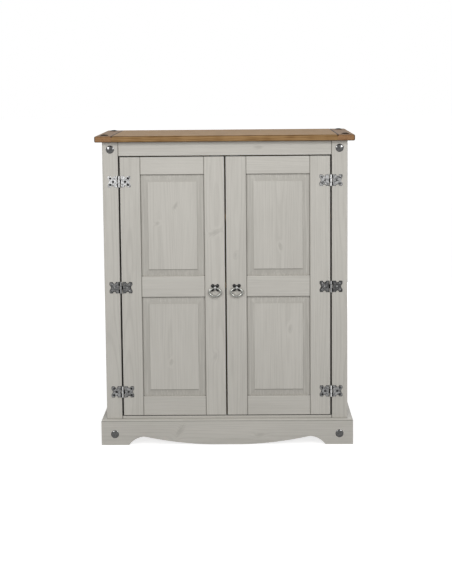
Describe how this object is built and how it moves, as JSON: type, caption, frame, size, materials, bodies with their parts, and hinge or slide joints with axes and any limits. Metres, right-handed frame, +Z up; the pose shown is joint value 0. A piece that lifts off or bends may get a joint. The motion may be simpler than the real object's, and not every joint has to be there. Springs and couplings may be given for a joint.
{
  "type": "cupboard",
  "caption": "Pine cupboard with a waxed top, grey-washed panelled doors, butterfly hinges, ring handles and a shaped plinth.",
  "frame": {"origin": "on the floor, under the middle of the top's outline", "axes": "+Z up, +X to the right as seen from the front, +Y from the doors to the back"},
  "size_m": [0.92, 0.43, 1.1233],
  "materials": {
    "waxed_pine": "waxed, honey brown with darker arrises",
    "grey_washed_pine": "pale warm grey wash, satin, grain showing through",
    "bare_pine": "unpainted, lightly sealed",
    "antique_steel": "antique pewter, polished on the high spots",
    "catch_plastic": "plain moulded"
  },
  "bodies": {
    "carcass": {"top_panel": "waxed_pine", "top_end_left": "waxed_pine", "top_end_right": "waxed_pine", "front_post_left": "grey_washed_pine", "front_post_right": "grey_washed_pine", "back_post_left": "grey_washed_pine", "back_post_right": "grey_washed_pine", "face_top_rail": "grey_washed_pine", "face_bottom_rail": "grey_washed_pine", "back_top_rail": "grey_washed_pine", "back_bottom_rail": "grey_washed_pine", "side_top_rail_left": "grey_washed_pine", "side_top_rail_right": "grey_washed_pine", "side_bottom_rail_left": "grey_washed_pine", "side_bottom_rail_right": "grey_washed_pine", "side_panel_left": "grey_washed_pine", "side_panel_right": "grey_washed_pine", "back_boards": "bare_pine", "floor_panel": "bare_pine", "shelf_lower": "bare_pine", "shelf_upper": "bare_pine", "shelf_bearers": "bare_pine", "plinth_front": "grey_washed_pine", "plinth_left": "grey_washed_pine", "plinth_right": "grey_washed_pine", "top_buttons": "bare_pine", "dome_nails": "antique_steel", "hinge_post_leaves": "antique_steel", "hinge_pins": "antique_steel", "hinge_post_screws": "antique_steel", "catch_magnets": "catch_plastic"},
    "door_left": {"door_hinge_stile_left": "grey_washed_pine", "door_meeting_stile_left": "grey_washed_pine", "door_top_rail_left": "grey_washed_pine", "door_mid_rail_left": "grey_washed_pine", "door_bottom_rail_left": "grey_washed_pine", "door_upper_panel_left": "grey_washed_pine", "door_lower_panel_left": "grey_washed_pine", "door_hinge_leaves_left": "antique_steel", "door_hinge_screws_left": "antique_steel", "handle_plate_left": "antique_steel", "handle_eye_left": "antique_steel", "handle_nut_left": "antique_steel", "catch_plate_left": "antique_steel"},
    "ring_left": {"handle_ring_left": "antique_steel"},
    "door_right": {"door_hinge_stile_right": "grey_washed_pine", "door_meeting_stile_right": "grey_washed_pine", "door_top_rail_right": "grey_washed_pine", "door_mid_rail_right": "grey_washed_pine", "door_bottom_rail_right": "grey_washed_pine", "door_upper_panel_right": "grey_washed_pine", "door_lower_panel_right": "grey_washed_pine", "door_hinge_leaves_right": "antique_steel", "door_hinge_screws_right": "antique_steel", "handle_plate_right": "antique_steel", "handle_eye_right": "antique_steel", "handle_nut_right": "antique_steel", "catch_plate_right": "antique_steel"},
    "ring_right": {"handle_ring_right": "antique_steel"}
  },
  "joints": [
    {"name": "door_left_swing", "type": "hinge", "parent": "carcass", "child": "door_left", "pos_m": [-0.3769, -0.1948, 0.5745], "axis": [0, 0, -1], "range_deg": [0, 178]},
    {"name": "door_right_swing", "type": "hinge", "parent": "carcass", "child": "door_right", "pos_m": [0.3769, -0.1948, 0.5745], "axis": [0, 0, 1], "range_deg": [0, 178]},
    {"name": "ring_left_lift", "type": "hinge", "parent": "door_left", "child": "ring_left", "pos_m": [-0.0387, -0.1996, 0.573], "axis": [-1, 0, 0], "range_deg": [0, 120]},
    {"name": "ring_right_lift", "type": "hinge", "parent": "door_right", "child": "ring_right", "pos_m": [0.0387, -0.1996, 0.573], "axis": [-1, 0, 0], "range_deg": [0, 120]}
  ]
}
